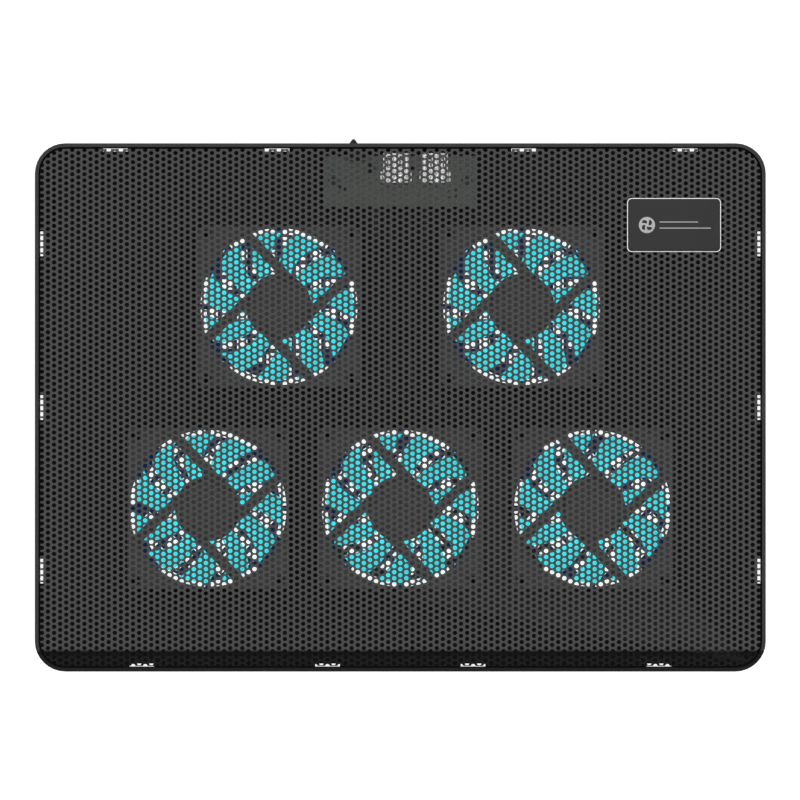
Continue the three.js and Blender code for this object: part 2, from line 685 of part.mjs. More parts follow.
// ---------------------------------------------------------------- assembly

addPiece('base_tray', makeTray(), trayPlastic);
addPiece('top_sheet', makeTopSheet(), sheetPaint);
addPiece('name_plate', makeNamePlate(), plateMetal);

const fanPieces = {
  frame: [makeFanFrame(), framePlastic],
  bearing: [ring(BEARING.bore, BEARING.outer, BEARING.bottom, BEARING.top, SIDES.pin), bronze],
  stator: [makeStator(), copper],
  rotor: [makeRotor(), bladePlastic],
  magnet: [ring(MAGNET.inner, MAGNET.outer, MAGNET.bottom, MAGNET.top, SIDES.hub), ferrite],
  shaft: [cylinder(SHAFT.radius, SHAFT.bottom, SHAFT.top, 0, 0, SIDES.pin), steel],
};
const TURNING = ['rotor', 'magnet', 'shaft'];

for (const fan of FANS) {
  const place = new THREE.Group();
  place.position.set(fan.x, fan.y, 0);
  pad.add(place);
  for (const [kind, [geometry, look]] of Object.entries(fanPieces)) {
    const piece = addPiece(`fan_${fan.name}_${kind}`, geometry, look, place);
    piece.rotation.z = TURNING.includes(kind) ? fan.phase : 0;
  }
  addPiece(`fan_${fan.name}_lead`, makeLead(LEADS[fan.name]), leadJacket);
}

addPiece('circuit_board', makeBoard(), boardMask);
['left', 'right'].forEach((name, i) => {
  const side = 2 * i - 1;
  addPiece(`board_screw_${name}`, makeBoardScrew(), steel).position.set(side * BOARD.screwX, BOARD.y, 0);
  addPiece(`usb_shell_${name}`, makeUsbShell(), steel).position.x = USB.xs[i];
  addPiece(`usb_tongue_${name}`, makeTongue(), blackPlastic).position.x = USB.xs[i];
  addPiece(`foot_${name}`, makeFoot(), trayPlastic).position.x = side * POCKET.x;
  addPiece(`foot_tip_${name}`, makeFootTip(), rubber).position.x = side * POCKET.x;
  addPiece(`foot_pin_${name}`, makePin(), steel).position.x = side * POCKET.x;
  for (const [end, y] of [['front', RUBBER.frontY], ['rear', RUBBER.rearY]]) {
    addPiece(`rubber_pad_${end}_${name}`, makeRubberPad(), rubber).position.set(side * RUBBER.x, y, 0);
  }
});
addPiece('switch_body', makeSwitchBody(), blackPlastic);
addPiece('switch_knob', makeSwitchKnob(), blackPlastic);

export default pad;
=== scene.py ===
"""Looks of the laptop cooling pad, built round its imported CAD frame. Lengths are in metres."""
import math

import bmesh
import bpy
import numpy as np
from mathutils import Matrix, Vector


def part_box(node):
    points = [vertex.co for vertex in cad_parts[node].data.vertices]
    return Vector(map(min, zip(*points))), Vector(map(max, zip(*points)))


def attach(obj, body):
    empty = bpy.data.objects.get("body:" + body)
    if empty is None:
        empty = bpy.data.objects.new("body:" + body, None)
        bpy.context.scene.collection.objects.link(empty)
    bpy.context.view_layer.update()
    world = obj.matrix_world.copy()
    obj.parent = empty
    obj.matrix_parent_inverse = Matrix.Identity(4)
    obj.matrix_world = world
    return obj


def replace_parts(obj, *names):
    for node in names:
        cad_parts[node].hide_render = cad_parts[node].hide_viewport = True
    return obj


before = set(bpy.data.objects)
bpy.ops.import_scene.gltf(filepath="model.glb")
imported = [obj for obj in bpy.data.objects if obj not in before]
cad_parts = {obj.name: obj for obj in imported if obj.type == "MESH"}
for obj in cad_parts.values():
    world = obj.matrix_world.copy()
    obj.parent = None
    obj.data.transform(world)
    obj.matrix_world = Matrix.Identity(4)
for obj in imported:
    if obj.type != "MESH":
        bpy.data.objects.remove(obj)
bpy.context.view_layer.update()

MM = 0.001
TURN = 2 * math.pi
SMOOTH_ANGLE = math.radians(32)

TRAY_LOW, TRAY_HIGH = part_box("base_tray")
SHEET_LOW, SHEET_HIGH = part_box("top_sheet")
PLATE_LOW, PLATE_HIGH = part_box("name_plate")
MIDDLE_Y = (TRAY_LOW.y + TRAY_HIGH.y) / 2
SHEET_TOP = PLATE_LOW.z

FAN_NAMES = ["rear_left", "rear_right", "front_left", "front_centre", "front_right"]
FAN_PHASE = {"front_left": -3.9, "front_centre": 0.7, "front_right": 0.6}   # degrees, at rest


def fan_place(name):
    low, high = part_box(f"fan_{name}_frame")
    return Vector(((low.x + high.x) / 2, (low.y + high.y) / 2, 0))


# ------------------------------------------------------------------ camera, floor and light

VIEW_WIDTH = 1.0944 * (TRAY_HIGH.x - TRAY_LOW.x)
LENS, SENSOR = 1000.0, 36.0                  # millimetres
CAMERA_ASIDE, CAMERA_BEHIND = -0.00015, 0.0037
FLOOR_REACH = 30.0
SKY_COLOUR, SKY_STRENGTH = (0.95, 0.97, 1.0, 1), 0.07
OVERHEAD = {"place": (0, 0.9, 2.6), "size": 3.6, "power": 75.0, "target": (0, 0.9, 0)}
SIDE_FILL = {"place": (-2.6, -1.2, 0.9), "size": 1.0, "power": 1.5, "target": (0, 0, 0)}


def make_camera():
    """A very long lens straight above the pad, aimed a little behind its middle."""
    data = bpy.data.cameras.new("camera")
    data.lens, data.sensor_width = LENS, SENSOR
    data.clip_start, data.clip_end = 1.0, 60.0
    camera = bpy.data.objects.new("camera", data)
    distance = VIEW_WIDTH * LENS / SENSOR
    camera.location = (CAMERA_ASIDE, MIDDLE_Y + CAMERA_BEHIND, SHEET_TOP + distance)
    bpy.context.scene.collection.objects.link(camera)
    bpy.context.scene.camera = camera


def make_floor():
    """A wide pale floor that glows a little, so that it looks white from above."""
    material, _, shader = new_material("pale_floor")
    shader.inputs["Base Color"].default_value = (0.55, 0.55, 0.55, 1)
    shader.inputs["Roughness"].default_value = 0.9
    shader.inputs["Emission Color"].default_value = (1, 1, 1, 1)
    shader.inputs["Emission Strength"].default_value = 0.9
    corners = [(sx * FLOOR_REACH, sy * FLOOR_REACH, 0) for sx, sy in ((-1, -1), (1, -1), (1, 1), (-1, 1))]
    floor = add_mesh("floor", corners, [(0, 1, 2, 3)], material)


def add_area_light(name, place, size, power, target):
    """A square soft light, in metres and watts, turned towards its target and unseen by the camera."""
    data = bpy.data.lights.new(name, "AREA")
    data.shape, data.size, data.energy = "SQUARE", size, power
    light = bpy.data.objects.new(name, data)
    light.location = place
    light.rotation_euler = (Vector(target) - Vector(place)).to_track_quat("-Z", "Y").to_euler()
    light.visible_camera = False
    bpy.context.scene.collection.objects.link(light)


def make_light():
    """A dim sky, one wide light overhead and a weak one low at the side."""
    scene = bpy.context.scene
    world = bpy.data.worlds.new("studio")
    world.use_nodes = True
    background = world.node_tree.nodes["Background"]
    background.inputs["Color"].default_value = SKY_COLOUR
    background.inputs["Strength"].default_value = SKY_STRENGTH
    scene.world = world
    scene.view_settings.view_transform = "Standard"
    add_area_light("overhead", **OVERHEAD)
    add_area_light("side_fill", **SIDE_FILL)


# ------------------------------------------------------------------ mesh helpers

def add_mesh(name, vertices, faces, material):
    """A mesh object from corners in metres."""
    mesh = bpy.data.meshes.new(name)
    mesh.from_pydata([tuple(v) for v in vertices], [], [tuple(f) for f in faces])
    mesh.materials.append(material)
    thing = bpy.data.objects.new(name, mesh)
    bpy.context.scene.collection.objects.link(thing)
    return thing


def settle(thing, weld=2e-6):
    """Welds a mesh, turns its faces outwards and shades it smooth except at its edges."""
    shape = bmesh.new()
    shape.from_mesh(thing.data)
    bmesh.ops.remove_doubles(shape, verts=shape.verts, dist=weld)
    bmesh.ops.dissolve_degenerate(shape, edges=shape.edges, dist=weld)
    bmesh.ops.recalc_face_normals(shape, faces=shape.faces)
    for face in shape.faces:
        face.smooth = True
    for edge in shape.edges:
        edge.smooth = len(edge.link_faces) == 2 and edge.calc_face_angle(0) < SMOOTH_ANGLE
    shape.to_mesh(thing.data)
    shape.free()
    return thing


def baked(thing, material):
    """A plain mesh object from a curve, or from a mesh with modifiers."""
    bpy.context.view_layer.update()
    seen = thing.evaluated_get(bpy.context.evaluated_depsgraph_get())
    mesh = bpy.data.meshes.new_from_object(seen)
    mesh.materials.clear()
    mesh.materials.append(material)
    name = thing.name
    thing.name = name + "_old"
    made = bpy.data.objects.new(name, mesh)
    made.matrix_world = thing.matrix_world.copy()
    bpy.context.scene.collection.objects.link(made)
    bpy.data.objects.remove(thing)
    return settle(made)


def circle(radius, sides=96, x=0.0, y=0.0):
    return [(x + radius * math.cos(TURN * i / sides), y + radius * math.sin(TURN * i / sides))
            for i in range(sides)]


def rounded_rectangle(width, depth, radius, x=0.0, y=0.0, steps=10):
    points = []
    for quarter, (sx, sy) in enumerate([(1, 1), (-1, 1), (-1, -1), (1, -1)]):
        for i in range(steps + 1):
            angle = (quarter + i / steps) * math.pi / 2
            points.append((x + sx * (width / 2 - radius) + radius * math.cos(angle),
                           y + sy * (depth / 2 - radius) + radius * math.sin(angle)))
    return points


def plate(name, outlines, low, high, rounding, material):
    """A flat plate with holes and rounded edges: the first outline is the outside. In millimetres."""
    data = bpy.data.curves.new(name, "CURVE")
    data.dimensions, data.fill_mode = "2D", "BOTH"
    data.extrude = ((high - low) / 2 - rounding) * MM
    data.bevel_depth, data.offset, data.bevel_resolution = rounding * MM, -rounding * MM, 2
    for outline in outlines:
        spline = data.splines.new("POLY")
        spline.points.add(len(outline) - 1)
        for point, (x, y) in zip(spline.points, outline):
            point.co = (x * MM, y * MM, 0, 1)
        spline.use_cyclic_u = True
    thing = bpy.data.objects.new(name, data)
    thing.location.z = (low + high) / 2 * MM
    bpy.context.scene.collection.objects.link(thing)
    made = baked(thing, material)
    made.data.transform(made.matrix_world)
    made.matrix_world = Matrix.Identity(4)
    return made


def lathe(name, profile, material, sides=72):
    """A body turned about Z from a closed profile of (radius, height). In millimetres."""
    vertices, faces = [], []
    count = len(profile)
    for i in range(sides):
        angle = TURN * i / sides
        vertices += [(r * MM * math.cos(angle), r * MM * math.sin(angle), z * MM) for r, z in profile]
    for i in range(sides):
        for j in range(count):
            a, b = i * count + j, i * count + (j + 1) % count
            c, d = ((i + 1) % sides) * count + (j + 1) % count, ((i + 1) % sides) * count + j
            faces.append((a, d, c, b))
    return settle(add_mesh(name, vertices, faces, material))


def bar(name, low, high, rounding, material, segments=3):
    """A block with rounded edges between two corners. In millimetres."""
    shape = bmesh.new()
    bmesh.ops.create_cube(shape, size=1)
    size = [(b - a) * MM for a, b in zip(low, high)]
    middle = [(a + b) / 2 * MM for a, b in zip(low, high)]
    bmesh.ops.scale(shape, vec=size, verts=shape.verts)
    bmesh.ops.translate(shape, vec=middle, verts=shape.verts)
    if rounding:
        bmesh.ops.bevel(shape, geom=shape.edges, offset=rounding * MM, segments=segments,
                        profile=0.5, affect="EDGES", clamp_overlap=True)
    mesh = bpy.data.meshes.new(name)
    shape.to_mesh(mesh)
    shape.free()
    mesh.materials.append(material)
    thing = bpy.data.objects.new(name, mesh)
    bpy.context.scene.collection.objects.link(thing)
    return settle(thing)


def merged(name, things):
    """One object out of several that share a material or keep their own."""
    shape = bmesh.new()
    materials = []
    for thing in things:
        start = len(shape.faces)
        part = thing.data.copy()
        part.transform(thing.matrix_world)
        shape.from_mesh(part)
        shape.faces.ensure_lookup_table()
        slots = list(thing.data.materials)
        for m in slots:
            if m not in materials:
                materials.append(m)
        for face in shape.faces[start:]:
            face.material_index = materials.index(slots[face.material_index])
        bpy.data.meshes.remove(part)
    mesh = bpy.data.meshes.new(name)
    shape.to_mesh(mesh)
    shape.free()
    for m in materials:
        mesh.materials.append(m)
    for thing in things:
        bpy.data.objects.remove(thing)
    made = bpy.data.objects.new(name, mesh)
    bpy.context.scene.collection.objects.link(made)
    return made


def refined(node, rounding, material, segments=2):
    """A copy of a CAD node with its edges rounded, which then stands for the node."""
    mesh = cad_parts[node].data.copy()
    shape = bmesh.new()
    shape.from_mesh(mesh)
    bmesh.ops.remove_doubles(shape, verts=shape.verts, dist=1e-6)
    bmesh.ops.dissolve_limit(shape, angle_limit=math.radians(0.5), verts=shape.verts, edges=shape.edges)
    shape.to_mesh(mesh)
    shape.free()
    thing = bpy.data.objects.new(node + "_shape", mesh)
    bpy.context.scene.collection.objects.link(thing)
    bevel = thing.modifiers.new("edges", "BEVEL")
    bevel.width, bevel.segments = rounding * MM, segments
    bevel.limit_method, bevel.angle_limit = "ANGLE", math.radians(35)
    made = baked(thing, material)
    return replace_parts(made, node)


def repeated(thing, name, place, turn=0.0):
    """Another object with the same mesh, moved and turned about Z."""
    copy = bpy.data.objects.new(name, thing.data)
    copy.matrix_world = Matrix.Translation(place) @ Matrix.Rotation(turn, 4, "Z")
    bpy.context.scene.collection.objects.link(copy)
    return copy


# ------------------------------------------------------------------ materials

PAINTED_BLADE_SHADE = (6.7 * MM, 7.7 * MM)            # heights over which a blade goes from a painted navy shade at its low edge to turquoise
GRILLE_LEVEL = 3.5 * MM
PAINTED_GLOW_EDGE = (40 * MM, 38.5 * MM)             # distances from a fan's middle where the painted lamplight on the grille starts and is full
PAINTED_GLOW_LEVEL = (1.7 * MM, 2.6 * MM)            # heights on the grille where the painted lamplight starts and is full


def new_material(name):
    material = bpy.data.materials.new(name)
    material.use_nodes = True
    tree = material.node_tree
    return material, tree, tree.nodes["Principled BSDF"]


def add_noise(tree, scale, detail=3.0, roughness=0.55):
    """Noise in the object's own space; the scale is in features per metre."""
    coordinates = tree.nodes.new("ShaderNodeTexCoord")
    noise = tree.nodes.new("ShaderNodeTexNoise")
    noise.inputs["Scale"].default_value = scale
    noise.inputs["Detail"].default_value = detail
    noise.inputs["Roughness"].default_value = roughness
    tree.links.new(coordinates.outputs["Object"], noise.inputs["Vector"])
    return noise.outputs["Fac"]


def between(tree, value, start, end, low=0.0, high=1.0):
    """Maps a value from one range on to another, and holds it at the ends."""
    node = tree.nodes.new("ShaderNodeMapRange")
    node.inputs["From Min"].default_value = start
    node.inputs["From Max"].default_value = end
    node.inputs["To Min"].default_value = low
    node.inputs["To Max"].default_value = high
    tree.links.new(value, node.inputs["Value"])
    return node.outputs["Result"]


def spread_over(tree, value, low, high):
    """Maps the middle half of a noise on to a range."""
    return between(tree, value, 0.25, 0.75, low, high)


def two_tone(tree, factor, first, second):
    """A colour between two fixed ones."""
    node = tree.nodes.new("ShaderNodeMix")
    node.data_type = "RGBA"
    node.inputs["A"].default_value = (*first, 1)
    node.inputs["B"].default_value = (*second, 1)
    tree.links.new(factor, node.inputs["Factor"])
    return node.outputs["Result"]


def height_in(tree):
    """The height of a point in its object."""
    coordinates = tree.nodes.new("ShaderNodeTexCoord")
    axes = tree.nodes.new("ShaderNodeSeparateXYZ")
    tree.links.new(coordinates.outputs["Object"], axes.inputs["Vector"])
    return axes.outputs["Z"]


def mixed(tree, factor, plain, other):
    """A fixed colour that gives way to another node's colour."""
    node = tree.nodes.new("ShaderNodeMix")
    node.data_type = "RGBA"
    node.inputs["A"].default_value = (*plain, 1)
    tree.links.new(other, node.inputs["B"])
    tree.links.new(factor, node.inputs["Factor"])
    return node.outputs["Result"]


def grained(name, colour, roughness, metallic=0.0, grain=2200.0, bump=0.12, tone=0.12, gloss=0.07,
            specular=0.5):
    """A surface with a fine moulded or painted grain, uneven gloss and slow changes of tone."""
    material, tree, shader = new_material(name)
    shader.inputs["Metallic"].default_value = metallic
    shader.inputs["Specular IOR Level"].default_value = specular
    fine = add_noise(tree, grain)
    broad = spread_over(tree, add_noise(tree, 35.0, 2.0), 0, 1)
    darker = [c * (1 - tone) for c in colour]
    lighter = [c * (1 + tone) for c in colour]
    tree.links.new(two_tone(tree, broad, darker, lighter), shader.inputs["Base Color"])
    tree.links.new(spread_over(tree, fine, roughness - gloss, roughness + gloss), shader.inputs["Roughness"])
    relief = tree.nodes.new("ShaderNodeBump")
    relief.inputs["Strength"].default_value = bump
    relief.inputs["Distance"].default_value = 0.05 * MM
    tree.links.new(fine, relief.inputs["Height"])
    tree.links.new(relief.outputs["Normal"], shader.inputs["Normal"])
    return material


def blade_plastic():
    """Turquoise plastic with the fan's lamplight painted in as a glow, and a painted shade that turns it navy
    at its low edge.
    """
    material, tree, shader = new_material("blade_plastic")
    # painted shade: the colour turns navy towards the blade's low edge, where it lies in shade
    height = between(tree, height_in(tree), *PAINTED_BLADE_SHADE)
    shade = spread_over(tree, add_noise(tree, 90.0, 2.0), 0, 1)
    bright = two_tone(tree, shade, (0.025, 0.55, 0.63), (0.04, 0.65, 0.68))
    colour = mixed(tree, height, (0.004, 0.09, 0.16), bright)
    tree.links.new(colour, shader.inputs["Base Color"])
    # painted light: blades and cup glow in their own colour, standing in for the lamps' light in the plastic
    tree.links.new(colour, shader.inputs["Emission Color"])
    shader.inputs["Emission Strength"].default_value = 0.95
    tree.links.new(spread_over(tree, add_noise(tree, 1500.0), 0.28, 0.42), shader.inputs["Roughness"])
    return material


def tray_inside_shade_and_glow():
    """The tray's plastic inside: a darker, less glossy copy of the tray plastic that paints the shade inside
    the tray, with the lamps' navy light painted as a glow on the grille under each fan.
    """
    # painted shade: a little darker and less glossy than the tray plastic, for the shade inside the tray
    material = grained("tray_inside_shade_and_glow", (0.011, 0.011, 0.0112), 0.6, grain=1800.0, bump=0.2, specular=0.2)
    tree = material.node_tree
    shader = tree.nodes["Principled BSDF"]
    coordinates = tree.nodes.new("ShaderNodeTexCoord")
    nearest = None
    for name in FAN_NAMES:
        away = tree.nodes.new("ShaderNodeVectorMath")
        away.operation = "DISTANCE"
        away.inputs[1].default_value = fan_place(name) + Vector((0, 0, GRILLE_LEVEL))
        tree.links.new(coordinates.outputs["Object"], away.inputs[0])
        if nearest is None:
            nearest = away.outputs["Value"]
            continue
        lesser = tree.nodes.new("ShaderNodeMath")
        lesser.operation = "MINIMUM"
        tree.links.new(nearest, lesser.inputs[0])
        tree.links.new(away.outputs["Value"], lesser.inputs[1])
        nearest = lesser.outputs["Value"]
    # painted light: where the lamps' light falls, near each fan's bore and above the grille's foot
    inside = between(tree, nearest, *PAINTED_GLOW_EDGE)
    above = between(tree, height_in(tree), *PAINTED_GLOW_LEVEL)
    lit = tree.nodes.new("ShaderNodeMath")
    lit.operation = "MULTIPLY"
    tree.links.new(inside, lit.inputs[0])
    tree.links.new(above, lit.inputs[1])
    # painted light: the lamps' navy light on the grille is an emitted colour, uneven in patches
    patches = spread_over(tree, add_noise(tree, 70.0, 2.0), 0, 1)
    glow = two_tone(tree, patches, (0.001, 0.004, 0.035), (0.003, 0.011, 0.065))
    tree.links.new(mixed(tree, lit.outputs["Value"], (0, 0, 0), glow), shader.inputs["Emission Color"])
    shader.inputs["Emission Strength"].default_value = 1.0
    return material


def glowing(name, colour, strength):
    """A lit lens of a slightly uneven colour."""
    material, tree, shader = new_material(name)
    tone = spread_over(tree, add_noise(tree, 900.0), 0, 1)
    tree.links.new(two_tone(tree, tone, [c * 0.8 for c in colour], colour), shader.inputs["Base Color"])
    shader.inputs["Emission Color"].default_value = (*colour, 1)
    shader.inputs["Emission Strength"].default_value = strength
    shader.inputs["Roughness"].default_value = 0.2
    return material


TRAY_PLASTIC = grained("tray_plastic", (0.012, 0.012, 0.0122), 0.38, grain=1800.0, bump=0.12, specular=0.32)
# painted shade: a darker copy of the tray plastic for the inside, which also carries the painted lamp glow
TRAY_INSIDE_SHADE_AND_GLOW = tray_inside_shade_and_glow()
SHEET_PAINT = grained("sheet_paint", (0.0075, 0.0075, 0.0077), 0.27, grain=2600.0, bump=0.08, tone=0.08,
                       gloss=0.04, specular=0.47)
FRAME_PLASTIC = grained("frame_plastic", (0.061, 0.062, 0.063), 0.4, grain=1500.0, bump=0.06, specular=0.66)
BLADE_PLASTIC = blade_plastic()
STEEL = grained("steel", (0.8, 0.8, 0.8), 0.24, 1.0, grain=900.0, bump=0.03, tone=0.04)
BRONZE = grained("bronze", (0.45, 0.28, 0.12), 0.4, 1.0, grain=3000.0)
COPPER = grained("copper", (0.5, 0.17, 0.07), 0.4, 0.8, grain=2500.0)
FERRITE = grained("ferrite", (0.03, 0.03, 0.03), 0.75, grain=3500.0)
JACKET = grained("jacket", (0.012, 0.012, 0.012), 0.5, grain=1200.0)
BOARD_MASK = grained("board_mask", (0.10, 0.15, 0.105), 0.34, grain=700.0, bump=0.03, tone=0.1, specular=0.9)
BLACK_PLASTIC = grained("black_plastic", (0.009, 0.009, 0.009), 0.5, grain=1600.0, specular=0.3)
GOLD = grained("gold", (0.75, 0.52, 0.2), 0.25, 1.0, grain=1500.0, bump=0.05)
SOLDER = grained("solder", (0.3, 0.3, 0.3), 0.4, 1.0, grain=1500.0, bump=0.3)
SCREW_STEEL = grained("screw_steel", (0.07, 0.07, 0.072), 0.4, 1.0, grain=1500.0, bump=0.05)
RUBBER = grained("rubber", (0.011, 0.011, 0.012), 0.85, grain=2800.0, bump=0.35)
PLATE_METAL = grained("plate_metal", (0.006, 0.006, 0.0062), 0.34, grain=3200.0, bump=0.05, specular=0.3)
PLATE_EDGE = grained("plate_edge", (0.62, 0.62, 0.62), 0.3, 1.0, grain=2500.0, bump=0.04)
PRINT_WHITE = grained("print_white", (0.6, 0.6, 0.6), 0.5, grain=3000.0, bump=0.05, tone=0.03)
LAMP_BLUE = glowing("lamp_blue", (0.1, 0.45, 1.0), 3.0)


# ------------------------------------------------------------------ perforated sheet

# In millimetres from the tray's middle.
PITCH = 3.0
HOLE = 1.1                                   # radius
FIRST_ROW = 1.19                             # y of one hole on the middle column
THICK = 1.0
BEND_START, BEND_RADIUS, BEND = -119.6, 4.0, math.radians(40)
HALF_X = (SHEET_HIGH.x - SHEET_LOW.x) / 2 / MM
REAR = (SHEET_HIGH.y - MIDDLE_Y) / MM
FRONT = (SHEET_LOW.y - MIDDLE_Y) / MM
CORNER = 12.2                                # radius
TILES = 6
CORNER_STEPS = 2e4                           # corners closer than a step of 1 / 20,000 mm are one corner
WALL_STRIP = 0.3                             # width of a hole's wall in the flat layout
# The web round a hole reaches half way to the six holes next to it.
CELL_TIP, CELL_SIDE, CELL_TOP = PITCH * 5 / 8, PITCH * 3 / 8, PITCH / 2
CELL = np.array([(CELL_TIP, 0), (CELL_SIDE, CELL_TOP), (-CELL_SIDE, CELL_TOP),
                 (-CELL_TIP, 0), (-CELL_SIDE, -CELL_TOP), (CELL_SIDE, -CELL_TOP)])


def bent_points(plan, depth):
    """Puts plan points on the sheet's top face, or at a depth under it, down over the bend at the front."""
    past = np.maximum(BEND_START - plan[:, 1], 0)
    curved = np.minimum(past, BEND_RADIUS * math.sin(BEND))
    angle = np.arcsin(curved / BEND_RADIUS)
    drop = BEND_RADIUS * (1 - np.cos(angle)) + (past - curved) * math.tan(BEND)
    z = -drop - depth / np.cos(angle)
    return np.stack([plan[:, 0] * MM, plan[:, 1] * MM + MIDDLE_Y, z * MM + SHEET_TOP], 1)


def clipped(polygon, outline):
    """The part of a convex polygon inside a convex outline, both anticlockwise."""
    for (ax, ay), (bx, by) in zip(outline, outline[1:] + outline[:1]):
        nx, ny = ay - by, bx - ax
        sides = [(x - ax) * nx + (y - ay) * ny for x, y in polygon]
        if min(sides) >= 0:
            continue
        kept = []
        for i, (x, y) in enumerate(polygon):
            j = (i + 1) % len(polygon)
            if sides[i] >= 0:
                kept.append((x, y))
            if (sides[i] >= 0) != (sides[j] >= 0):
                t = sides[i] / (sides[i] - sides[j])
                kept.append((x + t * (polygon[j][0] - x), y + t * (polygon[j][1] - y)))
        polygon = kept
        if len(polygon) < 3:
            return []
    return polygon


def cell_triangles():
    """The web round one hole: eighteen triangles between its rim and its six-sided cell."""
    corner_angles = np.arctan2(CELL[:, 1], CELL[:, 0]) % TURN
    after = np.append(corner_angles[1:], TURN)
    rim_angles = np.ravel(np.column_stack([corner_angles, (corner_angles + after) / 2]))
    rim = HOLE * np.column_stack([np.cos(rim_angles), np.sin(rim_angles)])
    triangles = []
    for k in range(6):
        a, b = CELL[k], CELL[(k + 1) % 6]
        r0, r1, r2 = rim[2 * k], rim[2 * k + 1], rim[(2 * k + 2) % 12]
        triangles += [(a, r1, r0), (a, b, r1), (b, r2, r1)]
    return np.array(triangles)


def sheet_polygons(columns):
    """The web of some columns of holes in plan, as polygons cut to the sheet's outline."""
    outline = rounded_rectangle(2 * HALF_X, REAR - FRONT, CORNER, 0, (REAR + FRONT) / 2, 12)
    shape = np.array(outline)
    edge = np.roll(shape, -1, 0) - shape
    normal = np.column_stack([-edge[:, 1], edge[:, 0]])
    normal /= np.linalg.norm(normal, axis=1)[:, None]
    web = cell_triangles()
    low, high = min(p[1] for p in outline), max(p[1] for p in outline)
    polygons = []
    for column in columns:
        start = FIRST_ROW + (column % 2) * PITCH / 2
        for row in range(math.floor((low - start) / PITCH), math.ceil((high - start) / PITCH) + 1):
            centre = np.array([column * PITCH, start + row * PITCH])
            inside = ((centre + CELL)[:, None, :] - shape[None]) * normal[None]
            nearest = inside.sum(2).min(1)
            if nearest.min() >= 0:
                polygons += [t.tolist() for t in web + centre]
            elif nearest.max() > -PITCH:
                for triangle in (web + centre).tolist():
                    piece = clipped(triangle, outline)
                    if piece:
                        polygons.append(piece)
    return polygons


def thickened(name, polygons):
    """A closed sheet from flat polygons: two faces, and a wall along every open edge."""
    corners = np.array([p for polygon in polygons for p in polygon])
    keys, index = np.unique(np.round(corners * CORNER_STEPS).astype(np.int64), axis=0, return_inverse=True)
    index = index.ravel()
    flat = keys / CORNER_STEPS
    faces, at = [], 0
    for polygon in polygons:
        loop = index[at:at + len(polygon)].tolist()
        at += len(polygon)
        loop = [v for i, v in enumerate(loop) if v != loop[i - 1]]
        if len(set(loop)) == len(loop) and len(loop) > 2:
            faces.append(loop)
    used = {}
    for face in faces:
        for a, b in zip(face, face[1:] + face[:1]):
            used[(a, b)] = used.get((a, b), 0) + 1
    open_edges = [edge for edge in used if (edge[1], edge[0]) not in used]
    count = len(flat)
    vertices = np.vstack([bent_points(flat, 0), bent_points(flat, THICK)])
    under = [[v + count for v in reversed(face)] for face in faces]
    walls = [[b, a, a + count, b + count] for a, b in open_edges]
    sheet = add_mesh(name, vertices, faces + under + walls, SHEET_PAINT)
    lay_out_for_bake(sheet.data, flat, faces, open_edges)
    mark_sharp(sheet.data, open_edges, count)
    return sheet


def lay_out_for_bake(mesh, flat, faces, open_edges):
    """A flat layout of the sheet: top face, underside beside it, and walls in the holes."""
    low, high = flat.min(0) - 1, flat.max(0) + 1
    span = high - low
    scale = 1 / max(2 * span[0], span[1])
    top = (flat - low) * scale
    below = top + np.array([span[0] * scale, 0])
    spots = [top[v] for face in faces for v in face]
    spots += [below[v] for face in faces for v in reversed(face)]
    for a, b in open_edges:
        along = flat[b] - flat[a]
        length = max(np.hypot(*along), 1e-9)
        away = np.array([along[1], -along[0]]) / length * WALL_STRIP * scale
        spots += [top[b], top[a], top[a] + away, top[b] + away]
    layer = mesh.uv_layers.new(name="OFBake")
    layer.data.foreach_set("uv", np.array(spots, np.float32).ravel())


def mark_sharp(mesh, open_edges, count):
    """Shades the sheet smooth, with crisp edges where a face meets a wall."""
    mesh.polygons.foreach_set("use_smooth", np.ones(len(mesh.polygons), bool))
    total = 2 * count
    crisp = set()
    for a, b in open_edges:
        for shift in (0, count):
            first, last = sorted((a + shift, b + shift))
            crisp.add(first * total + last)
    edges = np.zeros(2 * len(mesh.edges), np.int64)
    mesh.edges.foreach_get("vertices", edges)
    edges = np.sort(edges.reshape(-1, 2), 1)
    sharp = np.isin(edges[:, 0] * total + edges[:, 1], np.fromiter(crisp, np.int64))
    mesh.attributes.new("sharp_edge", "BOOLEAN", "EDGE").data.foreach_set("value", sharp)


def make_sheet():
    """The perforated sheet, in tiles from left to right."""
    last = math.ceil(HALF_X / PITCH)
    columns = list(range(-last, last + 1))
    for k in range(TILES):
        share = columns[k * len(columns) // TILES:(k + 1) * len(columns) // TILES]
        tile = thickened(f"sheet_part_{k + 1}", sheet_polygons(share))
        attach(tile, "base")
        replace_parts(tile, "top_sheet")


# ------------------------------------------------------------------ fans

# In millimetres, and heights from the table.
FRAME_SIDE, FRAME_CORNER = 80, 4
FRAME_LOW, FRAME_TOP = 3.8, 18.8
FLANGE = 2.6
BORE, WALL_OUTSIDE = 38.8, 39.8
ARM_OFFSET, ARM_WIDTH, ARM_THICK, ARM_ANGLE = 13.0, 4.8, 2.0, 43.5
MOTOR_PLATE, MOTOR_PLATE_THICK = 16.2, 1.6
BEARING_IN, BEARING_OUT = 3.1, 4.4
HOLE_SPACING, SCREW_HOLE, POST = 71.5, 2.2, 3.5
CORNER_SIGNS = [(1, 1), (-1, 1), (-1, -1), (1, -1)]


def frame_corners():
    return [(sx * HOLE_SPACING / 2, sy * HOLE_SPACING / 2) for sx, sy in CORNER_SIGNS]


